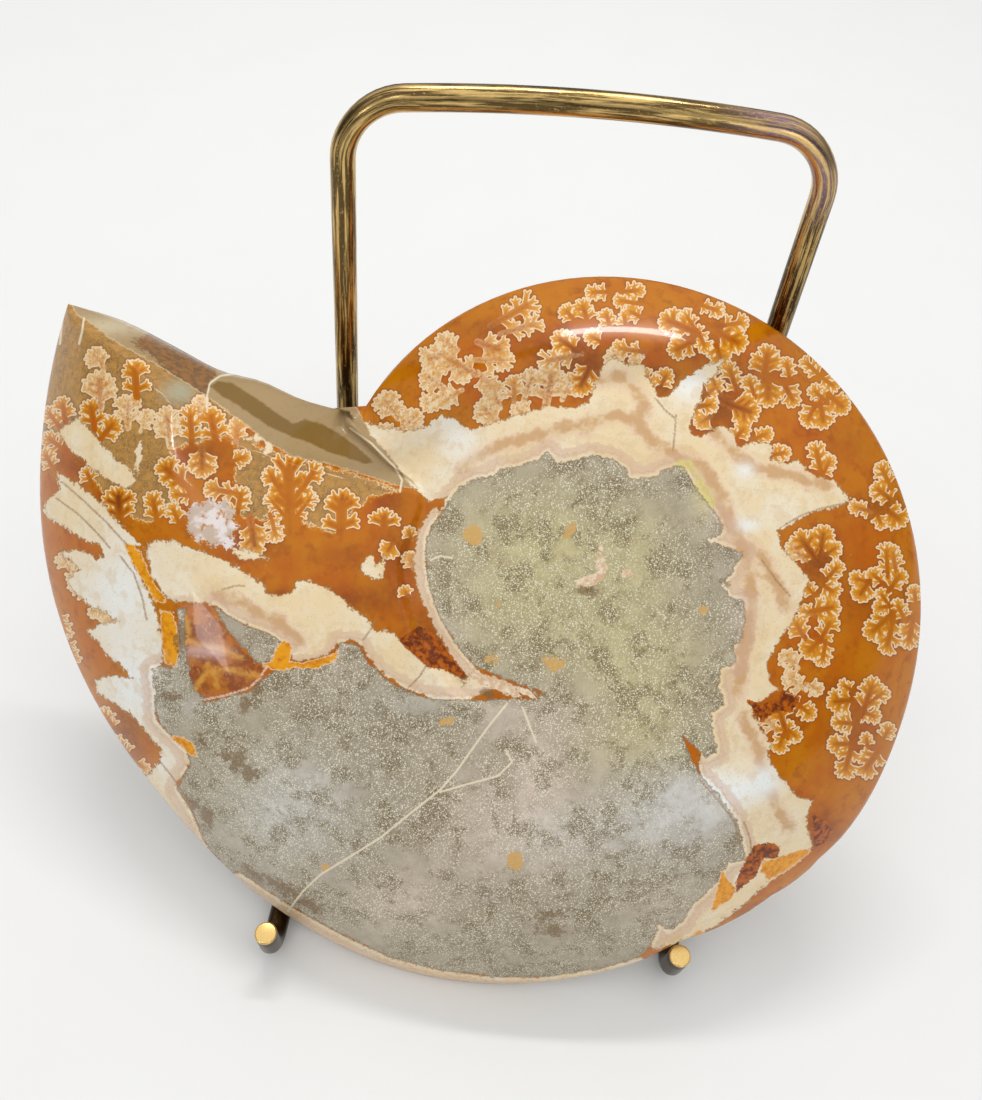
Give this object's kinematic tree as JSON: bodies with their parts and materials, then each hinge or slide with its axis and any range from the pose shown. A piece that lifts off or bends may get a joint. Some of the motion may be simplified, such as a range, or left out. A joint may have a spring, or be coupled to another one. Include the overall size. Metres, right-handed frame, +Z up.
{
  "type": "ammonite fossil half",
  "caption": "Polished half of an ammonite with a flat sawn back, leaning in a small bent brass wire easel with two front hooks and an upright loop.",
  "frame": {"origin": "on the table, under the middle of the object's bounding box", "axes": "+Z up, +X to the right as the polished face is looked at, +Y from the front hooks to the upright loop"},
  "size_m": [0.1524, 0.0856, 0.1261],
  "materials": {
    "polished_fossil": "polished calcite, shell and stone",
    "stand_brass": "bright, slightly tarnished"
  },
  "bodies": {
    "root": {"ammonite_half": "polished_fossil", "wire_stand": "stand_brass"}
  },
  "joints": []
}
